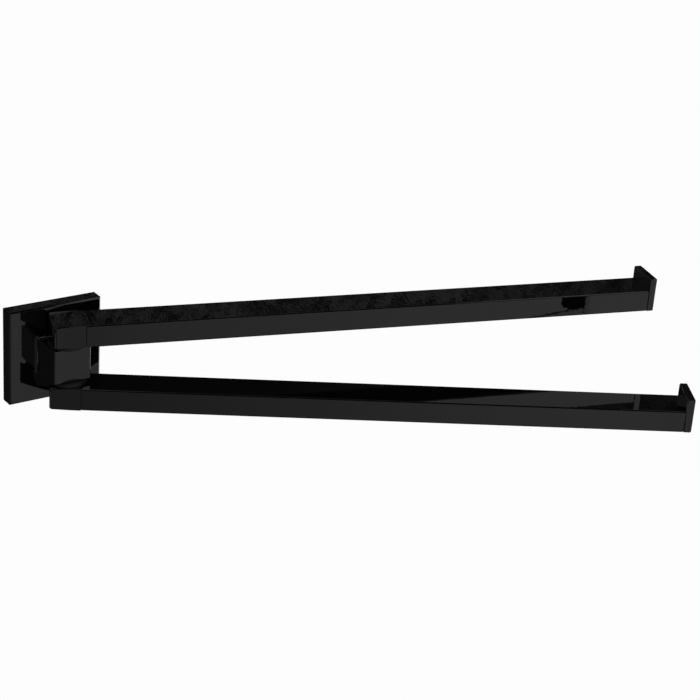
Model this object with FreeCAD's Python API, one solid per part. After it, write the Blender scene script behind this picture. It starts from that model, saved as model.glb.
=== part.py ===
"""Double swing arm towel bar with square cover plate, modelled piece by piece.

Frame: the wall is the plane Y = 0 and the bar stands off it towards -Y. X runs
along the wall, Z is up, and the origin is the centre of the cover plate's back.
Every arm piece is drawn in the arm's own frame (pivot axis at the origin, +X out
along the bar, +Y its wall side, Z = 0 at half the bar's height) and then swung
about the pivot to its resting angle. Units are millimetres.
"""
import FreeCAD
import Part

import math
import os

# ---------------------------------------------------------------- cover plate
PLATE_SIZE = 55.0          # square side
PLATE_DEPTH = 8.5          # how far the cover stands off the wall
PLATE_RIM = 2.0            # side wall thickness
PLATE_FRONT = 2.5          # front wall thickness
PLATE_EDGE = 0.8           # outer edge bevel
PLATE_CORNER = 1.5         # radius in the corners of the cavity

# ---------------------------------------------------------------- wall bracket
BRACKET_WIDTH = 42.0
BRACKET_HEIGHT = 41.0      # at its front; both long edges are bevelled at 45 degrees
BRACKET_DEPTH = 5.0
BRACKET_CORNER = 3.0
BRACKET_WINDOW = 8.5       # radius of the hole that clears the post screw's head
WALL_HOLE_SPACING = 29.0
WALL_HOLE_RADIUS = 2.5
WALL_SEAT_RADIUS = 4.6     # counterbore for a wall screw's head
WALL_SEAT_FLOOR = 2.0
HOOK_WIDTH = 24.0          # rib of the cover that hooks over the bracket
HOOK_DEPTH = 4.2
HOOK_CLEARANCE = 0.25

# ---------------------------------------------------------------- post
POST_WIDTH = 22.0
POST_HEIGHT = 20.0
POST_DEPTH = 21.0
POST_EDGE = 0.5            # edge bevel
POST_FOOT = 3.0            # concave radius round the foot, where the post meets the cover plate
POST_FOOT_LIP = 0.3        # thickness of the foot's rim
PIVOT_SETBACK = 14.0       # pivot axis in front of the cover plate
DOWEL_RADIUS = 1.5
DOWEL_LENGTH = 6.0
DOWEL_SPACING = 14.0

# ---------------------------------------------------------------- pivot
PIN_RADIUS = 4.0
PIN_END_GAP = 0.4          # pin end to the floor of the hub's blind bore
GROOVE_DEPTH = 0.5
GROOVE_WIDTH = 3.3
WASHER_RADIUS = 10.6
WASHER_THICKNESS = 1.9
WASHER_CLEARANCE = 0.15    # washer bore over pin, on the radius
SWIVEL_PLAY = 0.05         # axial play between washer and hub
RUNNING_FIT = 0.05         # bush over pin, on the radius
BUSH_WALL = 1.6
HUB_ROOF = 2.6             # solid metal above the blind bore

# ---------------------------------------------------------------- arms
BAR_WIDTH = 22.5
BAR_HEIGHT = 12.7
BAR_WALL = 1.2
BAR_EDGE = 0.6             # bevel along bar and hub
ARM_REACH = 348.0          # pivot axis to the outer face of the end cap
HUB_TAIL = 8.6             # pivot axis to the hub's rear corners
HUB_BULGE = 0.6            # crown of the hub's rear face
HUB_NOSE = 8.6             # pivot axis to the seam with the bar
HUB_CORNER = 1.8
SEAM_CHAMFER = 0.25
SPIGOT_LENGTH = 24.0
SPIGOT_CLEARANCE = 0.12    # spigot inside the bar, each side
SPIGOT_LEAD = 1.0
CAP_THICKNESS = 4.7
CAP_RISE = 7.6             # cap above the bar's top
CAP_DROP = 0.2             # cap below the bar's underside
CAP_EDGE = 0.6
CAP_SPIGOT_LENGTH = 15.0
UPPER_ANGLE = 16.3         # resting angle from the wall plane, degrees
LOWER_ANGLE = 31.0

# ---------------------------------------------------------------- fasteners
GRUB_RADIUS = 2.0
GRUB_KEY = 2.0             # hexagon across flats
GRUB_KEY_DEPTH = 1.8
GRUB_RECESS = 0.3          # how far a grub screw sits below the face
GRUB_AXIS_DEPTH = 3.2      # cover's grub screw axis in front of the wall
GRUB_TIP_RADIUS = 0.3
BOSS_WIDTH = 10.0
BOSS_HEIGHT = 4.2
PAD_RADIUS = 1.5
PAD_CLEARANCE = 0.1
PAD_ENGAGEMENT = 0.4       # how far the friction pad reaches into the groove
PAD_LENGTH = 3.6
POST_SCREW_RADIUS = 3.0
POST_SCREW_CLEARANCE = 0.2
POST_SCREW_GRIP = 7.4      # thread length inside the post
POST_HEAD_RADIUS = 5.2
POST_HEAD_HEIGHT = 3.4
POST_KEY = 4.0
SPRING_WASHER_RADIUS = 5.4
SPRING_WASHER_THICKNESS = 1.4
SPRING_WASHER_SLIT = 0.9
BAR_SCREW_RADIUS = 1.5
BAR_SCREW_HEAD_RADIUS = 2.6
BAR_SCREW_LENGTH = 6.5
BAR_SCREW_KEY = 2.0
BAR_SCREW_INSET = 9.0      # screw axis from either end of the bar
THREAD_RUNOUT = 0.6        # hole beyond the screw's end

# ---------------------------------------------------------------- derived sizes
PIVOT_Y = -(PLATE_DEPTH + PIVOT_SETBACK)
POST_FRONT_Y = -(PLATE_DEPTH + POST_DEPTH)
CAVITY_DEPTH = PLATE_DEPTH - PLATE_FRONT
CAVITY_HALF = PLATE_SIZE / 2 - PLATE_RIM
BUSH_OUTER = PIN_RADIUS + RUNNING_FIT + BUSH_WALL
BORE_DEPTH = BAR_HEIGHT - HUB_ROOF
HUB_BASE = POST_HEIGHT / 2 + WASHER_THICKNESS + SWIVEL_PLAY
ARM_LEVEL = HUB_BASE + BAR_HEIGHT / 2
PAD_TIP = PIN_RADIUS - PAD_ENGAGEMENT
BAR_END = ARM_REACH - CAP_THICKNESS
GROOVE_LEVEL = ARM_LEVEL - HUB_ROOF / 2

UP = FreeCAD.Vector(0, 0, 1)
UPPER = 1
LOWER = -1


def vec(x, y, z):
    """Shorthand for a vector."""
    return FreeCAD.Vector(x, y, z)


def block(x_range, y_range, z_range):
    """Box between two limits on each axis."""
    size = [high - low for low, high in (x_range, y_range, z_range)]
    corner = vec(x_range[0], y_range[0], z_range[0])
    return Part.makeBox(size[0], size[1], size[2], corner)


def rod(radius, start, end):
    """Cylinder between two points."""
    span = end.sub(start)
    return Part.makeCylinder(radius, span.Length, start, span)


def taper(radius_start, radius_end, start, end):
    """Truncated cone between two points."""
    span = end.sub(start)
    return Part.makeCone(radius_start, radius_end, span.Length, start, span)


def prism(points, sweep):
    """Solid from a closed polygon pushed along a vector."""
    return Part.Face(Part.makePolygon(points + points[:1])).extrude(sweep)


def hexagon(across_flats, start, sweep):
    """Hexagonal key pocket that opens at a point and runs along a vector."""
    radius = across_flats / math.sqrt(3)
    ring = [vec(radius * math.cos(math.radians(60 * i)), radius * math.sin(math.radians(60 * i)), 0)
            for i in range(6)]
    pocket = prism(ring, vec(0, 0, sweep.Length))
    pocket.Placement = FreeCAD.Placement(start, FreeCAD.Rotation(UP, sweep))
    return pocket


def edges_where(shape, test):
    """Edges whose two ends and middle all pass a test on their points."""
    picked = []
    for edge in shape.Edges:
        middle = edge.valueAt((edge.FirstParameter + edge.LastParameter) / 2)
        points = [vertex.Point for vertex in edge.Vertexes] + [middle]
        if all(test(point) for point in points):
            picked.append(edge)
    return picked


def edges_off_plane(shape, y):
    """Edges that don't lie in the plane at this Y."""
    return [edge for edge in shape.Edges if not all(near(v.Point.y, y) for v in edge.Vertexes)]


def near(a, b):
    """True where two lengths are the same."""
    return abs(a - b) < 1e-4


# ================================================================ wall side
def make_wall_plate():
    """Square cover: a shell open to the wall, with hooking rib and screw boss inside."""
    half = PLATE_SIZE / 2
    shell = block((-half, half), (-PLATE_DEPTH, 0), (-half, half))
    shell = shell.makeChamfer(PLATE_EDGE, edges_off_plane(shell, 0))
    inner = block((-CAVITY_HALF, CAVITY_HALF), (-CAVITY_DEPTH, 0), (-CAVITY_HALF, CAVITY_HALF))
    corners = [edge for edge in inner.Edges if near(abs(edge.tangentAt(edge.FirstParameter).y), 1)]
    shell = shell.cut(inner.makeFillet(PLATE_CORNER, corners))
    shell = shell.fuse(make_hook_rib()).fuse(make_screw_boss())
    holes = [rod(GRUB_RADIUS, vec(0, -GRUB_AXIS_DEPTH, -half - 1),
                 vec(0, -GRUB_AXIS_DEPTH, -CAVITY_HALF + BOSS_HEIGHT + 1)),
             rod(POST_SCREW_RADIUS + POST_SCREW_CLEARANCE, vec(0, -PLATE_DEPTH - 1, 0), vec(0, 0, 0))]
    for x in dowel_places():
        holes.append(rod(DOWEL_RADIUS, vec(x, -PLATE_DEPTH - 1, 0), vec(x, 0, 0)))
    return shell.cut(holes).removeSplitter()


def make_hook_rib():
    """Rib under the cover's top wall that drops behind the bracket's upper bevel."""
    root = BRACKET_HEIGHT / 2 - BRACKET_DEPTH + HOOK_CLEARANCE
    top = CAVITY_HALF + PLATE_RIM / 2
    side = -HOOK_WIDTH / 2
    outline = [vec(side, 0, top), vec(side, 0, root), vec(side, -HOOK_DEPTH, root + HOOK_DEPTH),
               vec(side, -HOOK_DEPTH, top)]
    return prism(outline, vec(HOOK_WIDTH, 0, 0))


def make_screw_boss():
    """Boss on the cover's bottom wall that gives the grub screw its thread length."""
    low = -CAVITY_HALF - PLATE_RIM / 2
    boss = block((-BOSS_WIDTH / 2, BOSS_WIDTH / 2), (-CAVITY_DEPTH - PLATE_FRONT / 2, -GRUB_RECESS),
                 (low, -CAVITY_HALF + BOSS_HEIGHT))
    return boss


def dowel_places():
    """X of the two dowels between cover and post."""
    return (-DOWEL_SPACING / 2, DOWEL_SPACING / 2)


def make_wall_bracket():
    """Flat bracket with bevelled top and bottom edges and two screw holes to the wall."""
    front = BRACKET_HEIGHT / 2
    back = front - BRACKET_DEPTH
    side = -BRACKET_WIDTH / 2
    outline = [vec(side, 0, -back), vec(side, -BRACKET_DEPTH, -front),
               vec(side, -BRACKET_DEPTH, front), vec(side, 0, back)]
    body = prism(outline, vec(BRACKET_WIDTH, 0, 0))
    mask = block((side, -side), (-BRACKET_DEPTH, 0), (-front, front))
    corners = [edge for edge in mask.Edges if near(abs(edge.tangentAt(edge.FirstParameter).y), 1)]
    body = body.common(mask.makeFillet(BRACKET_CORNER, corners))
    cuts = [rod(BRACKET_WINDOW, vec(0, -BRACKET_DEPTH - 1, 0), vec(0, 1, 0))]
    for x in (-WALL_HOLE_SPACING / 2, WALL_HOLE_SPACING / 2):
        cuts.append(rod(WALL_HOLE_RADIUS, vec(x, -BRACKET_DEPTH - 1, 0), vec(x, 1, 0)))
        cuts.append(rod(WALL_SEAT_RADIUS, vec(x, -BRACKET_DEPTH - 1, 0), vec(x, -WALL_SEAT_FLOOR, 0)))
    return body.cut(cuts)


def make_plate_grub_screw():
    """Cone-point grub screw that pushes up on the bracket's lower bevel."""
    y = -GRUB_AXIS_DEPTH
    foot = -PLATE_SIZE / 2 + PLATE_EDGE / 2 + GRUB_RECESS
    tip = -(BRACKET_HEIGHT / 2 - BRACKET_DEPTH) - GRUB_AXIS_DEPTH - GRUB_TIP_RADIUS
    shoulder = tip - (GRUB_RADIUS - GRUB_TIP_RADIUS)
    screw = rod(GRUB_RADIUS, vec(0, y, foot), vec(0, y, shoulder))
    screw = screw.fuse(taper(GRUB_RADIUS, GRUB_TIP_RADIUS, vec(0, y, shoulder), vec(0, y, tip)))
    return screw.cut(hexagon(GRUB_KEY, vec(0, y, foot), vec(0, 0, GRUB_KEY_DEPTH)))


# ================================================================ post
def make_post_block():
    """Post that carries the pivot: bored upright for the pin, threaded and dowelled behind."""
    half_x = POST_WIDTH / 2
    half_z = POST_HEIGHT / 2
    root = -PLATE_DEPTH + POST_FOOT_LIP
    body = block((-half_x, half_x), (POST_FRONT_Y, root), (-half_z, half_z))
    body = body.makeChamfer(POST_EDGE, edges_off_plane(body, root))
    ground = block((-POST_WIDTH, POST_WIDTH), (root, 0), (-POST_WIDTH, POST_WIDTH))
    body = body.fuse(ground)
    foot = edges_where(body, lambda p: near(p.y, root) and abs(p.x) < half_x + 1 and abs(p.z) < half_z + 1)
    body = body.makeFillet(POST_FOOT, foot)
    body = body.cut(block((-POST_WIDTH - 1, POST_WIDTH + 1), (-PLATE_DEPTH, 1), (-POST_WIDTH - 1, POST_WIDTH + 1)))
    reach = POST_SCREW_GRIP + THREAD_RUNOUT
    cuts = [rod(PIN_RADIUS, vec(0, PIVOT_Y, -half_z - 1), vec(0, PIVOT_Y, half_z + 1)),
            rod(POST_SCREW_RADIUS, vec(0, -PLATE_DEPTH, 0), vec(0, -PLATE_DEPTH - reach, 0))]
    depth = DOWEL_LENGTH - PLATE_FRONT
    for x in dowel_places():
        cuts.append(rod(DOWEL_RADIUS, vec(x, -PLATE_DEPTH, 0), vec(x, -PLATE_DEPTH - depth, 0)))
    return body.cut(cuts)


def make_post_screw():
    """Socket screw from inside the cover into the post."""
    seat = -CAVITY_DEPTH + SPRING_WASHER_THICKNESS
    top = seat + POST_HEAD_HEIGHT
    screw = rod(POST_HEAD_RADIUS, vec(0, seat, 0), vec(0, top, 0))
    screw = screw.makeChamfer(POST_SCREW_CLEARANCE, edges_where(screw, lambda p: near(p.y, top)))
    screw = screw.fuse(rod(POST_SCREW_RADIUS, vec(0, seat, 0), vec(0, -PLATE_DEPTH - POST_SCREW_GRIP, 0)))
    return screw.cut(hexagon(POST_KEY, vec(0, top, 0), vec(0, -POST_HEAD_HEIGHT * 0.6, 0)))


def make_post_spring_washer():
    """Split ring under the post screw's head."""
    floor = -CAVITY_DEPTH
    top = floor + SPRING_WASHER_THICKNESS
    ring = rod(SPRING_WASHER_RADIUS, vec(0, floor, 0), vec(0, top, 0))
    ring = ring.cut(rod(POST_SCREW_RADIUS + POST_SCREW_CLEARANCE, vec(0, floor, 0), vec(0, top, 0)))
    slant = SPRING_WASHER_THICKNESS
    low = floor - 0.1
    high = top + 0.1
    slit = prism([vec(-slant / 2, low, 0), vec(-slant / 2 + SPRING_WASHER_SLIT, low, 0),
                  vec(slant / 2 + SPRING_WASHER_SLIT, high, 0), vec(slant / 2, high, 0)],
                 vec(0, 0, SPRING_WASHER_RADIUS + 1))
    return ring.cut(slit)


def make_post_dowels():
    """Two pins that keep the post square on the cover."""
    start = -CAVITY_DEPTH
    pins = [rod(DOWEL_RADIUS, vec(x, start, 0), vec(x, start - DOWEL_LENGTH, 0)) for x in dowel_places()]
    return Part.makeCompound(pins)


# ================================================================ pivot
def make_pivot_pin():
    """Round pin pressed through the post, grooved near both ends for the friction pads."""
    tip = HUB_BASE + BORE_DEPTH - PIN_END_GAP
    half_groove = GROOVE_WIDTH / 2
    floor = PIN_RADIUS - GROOVE_DEPTH
    upper_half = [(PIN_RADIUS, 0), (PIN_RADIUS, GROOVE_LEVEL - half_groove), (floor, GROOVE_LEVEL - half_groove),
                  (floor, GROOVE_LEVEL + half_groove), (PIN_RADIUS, GROOVE_LEVEL + half_groove),
                  (PIN_RADIUS, tip), (0, tip)]
    lower_half = [(radius, -height) for radius, height in reversed(upper_half) if height > 0]
    outline = [vec(radius, PIVOT_Y, height) for radius, height in lower_half + upper_half[1:]]
    face = Part.Face(Part.makePolygon(outline + outline[:1]))
    return face.revolve(vec(0, PIVOT_Y, 0), UP, 360)


def make_washer(side):
    """Round plastic washer between the post and one hub."""
    near_face = side * POST_HEIGHT / 2
    far_face = side * (POST_HEIGHT / 2 + WASHER_THICKNESS)
    start = vec(0, PIVOT_Y, near_face)
    end = vec(0, PIVOT_Y, far_face)
    return rod(WASHER_RADIUS, start, end).cut(rod(PIN_RADIUS + WASHER_CLEARANCE, start, end))


# ================================================================ arm pieces
def pad_height(side):
    """Height of pad and grub screw in the arm's frame: level with the pin's groove."""
    return side * (GROOVE_LEVEL - ARM_LEVEL)


def make_spigot(start, length, direction):
    """Tongue that fills the bar's end, with a lead at its tip."""
    half_y = BAR_WIDTH / 2 - BAR_WALL - SPIGOT_CLEARANCE
    half_z = BAR_HEIGHT / 2 - BAR_WALL - SPIGOT_CLEARANCE
    end = start + direction * length
    tongue = block(sorted((start, end)), (-half_y, half_y), (-half_z, half_z))
    return tongue.makeChamfer(SPIGOT_LEAD, edges_where(tongue, lambda p: near(p.x, end)))


def make_hub(side):
    """Hub that swivels on the pin: crowned tail, blind bore towards the post, spigot for the bar."""
    half_y = BAR_WIDTH / 2
    half_z = BAR_HEIGHT / 2
    tail = Part.Arc(vec(-HUB_TAIL, -half_y, -half_z), vec(-HUB_TAIL - HUB_BULGE, 0, -half_z),
                    vec(-HUB_TAIL, half_y, -half_z)).toShape()
    sides = Part.makePolygon([vec(-HUB_TAIL, half_y, -half_z), vec(HUB_NOSE, half_y, -half_z),
                              vec(HUB_NOSE, -half_y, -half_z), vec(-HUB_TAIL, -half_y, -half_z)])
    body = Part.Face(Part.Wire([tail] + sides.Edges)).extrude(vec(0, 0, BAR_HEIGHT))
    body = body.makeFillet(HUB_CORNER, edges_where(body, lambda p: near(p.x, -HUB_TAIL) and near(abs(p.y), half_y)))
    rims = edges_where(body, lambda p: near(abs(p.z), half_z))
    rims = [edge for edge in rims if not all(near(v.Point.x, HUB_NOSE) for v in edge.Vertexes)]
    body = body.makeChamfer(BAR_EDGE, rims)
    body = body.makeChamfer(SEAM_CHAMFER, edges_where(body, lambda p: near(p.x, HUB_NOSE)))
    body = body.fuse(make_spigot(HUB_NOSE, SPIGOT_LENGTH, 1))

    mouth = -side * half_z
    floor = mouth + side * BORE_DEPTH
    level = pad_height(side)
    cuts = [rod(BUSH_OUTER, vec(0, 0, mouth), vec(0, 0, floor)),
            rod(GRUB_RADIUS, vec(0, 0, level), vec(0, half_y + 1, level)),
            bar_screw_bore(HUB_NOSE + BAR_SCREW_INSET)]
    return body.cut(cuts).removeSplitter()


def make_bush(side):
    """Bearing bush pressed into the hub, pierced for the friction pad."""
    mouth = -side * BAR_HEIGHT / 2
    floor = mouth + side * BORE_DEPTH
    bush = rod(BUSH_OUTER, vec(0, 0, mouth), vec(0, 0, floor))
    cuts = [rod(PIN_RADIUS + RUNNING_FIT, vec(0, 0, mouth), vec(0, 0, floor)),
            rod(PAD_RADIUS + PAD_CLEARANCE, vec(0, 0, pad_height(side)), vec(0, BUSH_OUTER + 1, pad_height(side)))]
    return bush.cut(cuts)


def make_friction_pad(side):
    """Nylon plug that the grub screw presses towards the groove."""
    level = pad_height(side)
    return rod(PAD_RADIUS, vec(0, PAD_TIP, level), vec(0, PAD_TIP + PAD_LENGTH, level))


def make_grub_screw(side):
    """Grub screw in the wall side of the hub, behind the friction pad."""
    level = pad_height(side)
    start = vec(0, PAD_TIP + PAD_LENGTH, level)
    end = vec(0, BAR_WIDTH / 2 - GRUB_RECESS, level)
    return rod(GRUB_RADIUS, start, end).cut(hexagon(GRUB_KEY, end, vec(0, -GRUB_KEY_DEPTH, 0)))


def bar_screw_places():
    """X of the two countersunk screws, one at each end of the bar."""
    return (HUB_NOSE + BAR_SCREW_INSET, BAR_END - BAR_SCREW_INSET)


def bar_screw_body(x, length):
    """Countersunk screw form standing on the bar's underside."""
    face = -BAR_HEIGHT / 2
    cone = BAR_SCREW_HEAD_RADIUS - BAR_SCREW_RADIUS
    head = taper(BAR_SCREW_HEAD_RADIUS, BAR_SCREW_RADIUS, vec(x, 0, face), vec(x, 0, face + cone))
    return head.fuse(rod(BAR_SCREW_RADIUS, vec(x, 0, face + cone / 2), vec(x, 0, face + length)))


def bar_screw_bore(x):
    """Hole that takes a countersunk screw, a little deeper than the screw."""
    return bar_screw_body(x, BAR_SCREW_LENGTH + THREAD_RUNOUT)


def make_bar_screws():
    """The two countersunk screws of one arm."""
    screws = []
    for x in bar_screw_places():
        key = hexagon(BAR_SCREW_KEY, vec(x, 0, -BAR_HEIGHT / 2), vec(0, 0, BAR_WALL))
        screws.append(bar_screw_body(x, BAR_SCREW_LENGTH).cut(key))
    return Part.makeCompound(screws)


def make_bar():
    """Flat rectangular tube between hub and cap."""
    half_y = BAR_WIDTH / 2
    half_z = BAR_HEIGHT / 2
    outer = block((HUB_NOSE, BAR_END), (-half_y, half_y), (-half_z, half_z))
    long_edges = [edge for edge in outer.Edges if near(abs(edge.tangentAt(edge.FirstParameter).x), 1)]
    outer = outer.makeChamfer(BAR_EDGE, long_edges)
    outer = outer.makeChamfer(SEAM_CHAMFER, edges_where(outer, lambda p: near(p.x, HUB_NOSE)))
    inner = block((HUB_NOSE - 1, BAR_END + 1), (BAR_WALL - half_y, half_y - BAR_WALL),
                  (BAR_WALL - half_z, half_z - BAR_WALL))
    return outer.cut([inner] + [bar_screw_bore(x) for x in bar_screw_places()])


def make_end_cap():
    """End cap: a plate taller than the bar, with a spigot inside the bar's end."""
    half_y = BAR_WIDTH / 2
    half_z = BAR_HEIGHT / 2
    plate = block((BAR_END, ARM_REACH), (-half_y, half_y), (-half_z - CAP_DROP, half_z + CAP_RISE))
    plate = plate.makeChamfer(CAP_EDGE, plate.Edges)
    cap = plate.fuse(make_spigot(BAR_END, CAP_SPIGOT_LENGTH, -1))
    return cap.cut(bar_screw_bore(BAR_END - BAR_SCREW_INSET)).removeSplitter()


def make_arm(name, side, angle):
    """All pieces of one arm, swung about the pivot to its resting angle."""
    pieces = {
        "hub": make_hub(side),
        "bush": make_bush(side),
        "friction_pad": make_friction_pad(side),
        "grub_screw": make_grub_screw(side),
        "bar": make_bar(),
        "bar_screws": make_bar_screws(),
        "end_cap": make_end_cap(),
    }
    swing = FreeCAD.Placement(vec(0, PIVOT_Y, side * ARM_LEVEL), FreeCAD.Rotation(UP, -angle))
    for shape in pieces.values():
        shape.Placement = swing.multiply(shape.Placement)
    return {name + "_" + piece: shape for piece, shape in pieces.items()}


def make_all():
    """Every piece of the towel bar by node name."""
    nodes = {
        "wall_plate": make_wall_plate(),
        "wall_bracket": make_wall_bracket(),
        "plate_grub_screw": make_plate_grub_screw(),
        "post_block": make_post_block(),
        "post_screw": make_post_screw(),
        "post_spring_washer": make_post_spring_washer(),
        "post_dowels": make_post_dowels(),
        "pivot_pin": make_pivot_pin(),
        "upper_washer": make_washer(UPPER),
        "lower_washer": make_washer(LOWER),
    }
    nodes.update(make_arm("upper", UPPER, UPPER_ANGLE))
    nodes.update(make_arm("lower", LOWER, LOWER_ANGLE))
    return nodes


os.makedirs("parts", exist_ok=True)
for node, shape in make_all().items():
    if not shape.isValid():
        print("invalid solid:", node)
    shape.exportStep(os.path.join("parts", node + ".step"))
    print(f"{node:22s} {len(shape.Solids)} solid(s) {shape.Volume:10.1f} mm3")
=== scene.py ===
"""Dressed scene of a wall-mounted double swing arm towel bar.

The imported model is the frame: every piece here stands where the frame's nodes
stand, in metres, wall plane at Y = 0, bar towards -Y, Z up. Sizes below are in
millimetres, as a maker writes them, and are scaled when a mesh is finished.
"""

import logging
import math
from dataclasses import dataclass
from enum import Enum
from typing import Callable, Optional, Sequence, Union

import bmesh
import bpy
from mathutils import Matrix, Vector


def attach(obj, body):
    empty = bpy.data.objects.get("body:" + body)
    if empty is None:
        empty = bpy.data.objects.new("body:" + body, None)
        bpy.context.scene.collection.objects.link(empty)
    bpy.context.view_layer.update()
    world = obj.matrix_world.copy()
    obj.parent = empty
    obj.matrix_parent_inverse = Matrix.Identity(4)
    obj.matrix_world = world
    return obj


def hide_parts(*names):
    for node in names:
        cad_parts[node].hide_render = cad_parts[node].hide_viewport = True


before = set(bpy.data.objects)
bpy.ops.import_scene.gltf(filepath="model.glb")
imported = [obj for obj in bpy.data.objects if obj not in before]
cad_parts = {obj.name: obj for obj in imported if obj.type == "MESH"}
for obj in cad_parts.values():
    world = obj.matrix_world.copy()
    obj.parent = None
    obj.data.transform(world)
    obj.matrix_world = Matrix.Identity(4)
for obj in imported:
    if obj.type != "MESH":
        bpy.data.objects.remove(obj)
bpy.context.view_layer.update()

log = logging.getLogger("towel_bar")
MM = 0.001
TINY = 1e-4
TO_WALL = (0, 1, 0)
FROM_WALL = (0, -1, 0)
# Lays a (y, z) section along X.
CROSSWISE = Matrix(((0, 0, 1, 0), (1, 0, 0, 0), (0, 1, 0, 0), (0, 0, 0, 1)))

Point = Sequence[float]
Value = Union["Wire", int, float]
Colour = Union["Wire", tuple]


class Side(Enum):
    """Which arm of the pair: +1 sits above the post and -1 below it."""

    UPPER = 1
    LOWER = -1

    @property
    def prefix(self) -> str:
        """Start of the arm's node names."""
        return self.name.lower()


class Coat(Enum):
    """How glossy a black surface came out of the plating bath."""

    SHOW = "show"
    TUBE = "tube"
    INSIDE = "inside"


# ---- shader maths
def _operator(operation: str, swapped: bool = False) -> Callable[["Wire", Value], "Wire"]:
    """An operator of Wire that adds a Math node; swapped, the wire stands on its right."""
    order = -1 if swapped else 1
    return lambda wire, other: wire.graph.maths(operation, *(wire, other)[::order])


class Wire:
    """One output socket with arithmetic: an expression on wires adds its Math nodes."""

    def __init__(self, graph: "Graph", socket: bpy.types.NodeSocket) -> None:
        """Wraps an output socket of one of the graph's nodes."""
        self.graph = graph
        self.socket = socket

    __add__ = __radd__ = _operator("ADD")
    __mul__ = __rmul__ = _operator("MULTIPLY")
    __sub__, __rsub__ = _operator("SUBTRACT"), _operator("SUBTRACT", swapped=True)
    __truediv__, __rtruediv__ = _operator("DIVIDE"), _operator("DIVIDE", swapped=True)

    def __neg__(self) -> "Wire":
        """Opposite sign."""
        return self * -1.0

    def step(self, low: float, high: float) -> "Wire":
        """Smooth step from 0 at low to 1 at high."""
        return self.graph.node("ShaderNodeMapRange", {"interpolation_type": "SMOOTHSTEP"},
                               {0: self, 1: low, 2: high, 3: 0.0, 4: 1.0})[0]


class Sockets:
    """The outputs of one node, read by name or index as wires."""

    def __init__(self, graph: "Graph", node: bpy.types.Node) -> None:
        """Wraps one of the graph's nodes."""
        self.graph = graph
        self.node = node

    def __getitem__(self, name: Union[str, int]) -> Wire:
        """The wire of an output."""
        return Wire(self.graph, self.node.outputs[name])


class Graph:
    """Builder for one shader tree."""

    def __init__(self, tree: bpy.types.NodeTree) -> None:
        """Clears the node tree of a material or world and takes it over."""
        tree.nodes.clear()
        self.tree = tree

    def node(self, kind: str, settings: Optional[dict] = None,
             inputs: Optional[dict] = None) -> Sockets:
        """Adds a node: its settings first, then its socket values and links.

        Args:
            kind: The node's type.
            settings: Attribute values; "stops" holds a ramp's rising (place, colour) pairs.
            inputs: Values or wires by input name or index.

        Returns:
            The node's outputs.
        """
        made = self.tree.nodes.new(kind)
        for name, value in (settings or {}).items():
            if name == "stops":
                elements = made.color_ramp.elements
                while len(elements) < len(value):
                    elements.new(1.0)
                for element, (place, colour) in zip(elements, value):
                    element.position, element.color = place, (*colour, 1.0)
            else:
                setattr(made, name, value)
        for name, value in (inputs or {}).items():
            if isinstance(value, Wire):
                self.tree.links.new(value.socket, made.inputs[name])
            else:
                made.inputs[name].default_value = value
        return Sockets(self, made)

    def maths(self, operation: str, *values: Value) -> Wire:
        """Result of a Math node on values and wires."""
        return self.node("ShaderNodeMath", {"operation": operation}, dict(enumerate(values)))[0]

    def blend(self, mask: Value, low: Colour, high: Colour) -> Wire:
        """Mix of two colours, low where the mask is 0 and high where it is 1."""
        low, high = (tone if isinstance(tone, Wire) else (*tone, 1.0) for tone in (low, high))
        return self.node("ShaderNodeMix", {"data_type": "RGBA"}, {0: mask, 6: low, 7: high})[2]

    def noise(self, place: Wire, scale: float, detail: float = 2.0, rough: float = 0.5,
              fold: float = 0.0) -> Wire:
        """Smooth noise around 0.5, its scale in features per metre."""
        inputs = dict(Vector=place, Scale=scale, Detail=detail, Roughness=rough, Distortion=fold)
        return self.node("ShaderNodeTexNoise", {}, inputs)[0]

    def place(self, angle: float = 0.0, stretch: Point = (1.0, 1.0, 1.0)) -> Wire:
        """Object coordinates, turned into an arm's own direction and stretched.

        Args:
            angle: The arm's resting angle, in degrees.
            stretch: Scale along the piece, across it and upwards.

        Returns:
            The coordinates.
        """
        where = self.node("ShaderNodeTexCoord")["Object"]
        for change in ({"Rotation": (0.0, 0.0, math.radians(angle))}, {"Scale": stretch}):
            where = self.node("ShaderNodeMapping", {}, {"Vector": where, **change})[0]
        return where

    def bump(self, height: Wire, depth: float, strength: float = 1.0) -> Wire:
        """Normal of a surface with relief; depth is the height of 1, in metres."""
        inputs = {"Strength": strength, "Distance": depth, "Height": height}
        return self.node("ShaderNodeBump", {}, inputs)[0]


# ---- finishes
@dataclass(frozen=True)
class Finish:
    """A procedural finish; each kind fills in its own surface."""

    name: str

    def material(self) -> bpy.types.Material:
        """The finish as a material, made once and then shared.

        Returns:
            The material.
        """
        made = bpy.data.materials.get(self.name)
        if made is None:
            made = bpy.data.materials.new(self.name)
            made.use_nodes = True
            graph = Graph(made.node_tree)
            graph.node("ShaderNodeOutputMaterial", {}, {"Surface": self.shade(graph)})
        return made

    def shade(self, graph: Graph) -> Wire:
        """The shader in the material's graph."""
        return graph.node("ShaderNodeBsdfPrincipled", {}, self.surface(graph))[0]

    def surface(self, graph: Graph) -> dict:
        """Values and wires of the shader's sockets, by name."""
        raise NotImplementedError


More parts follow.
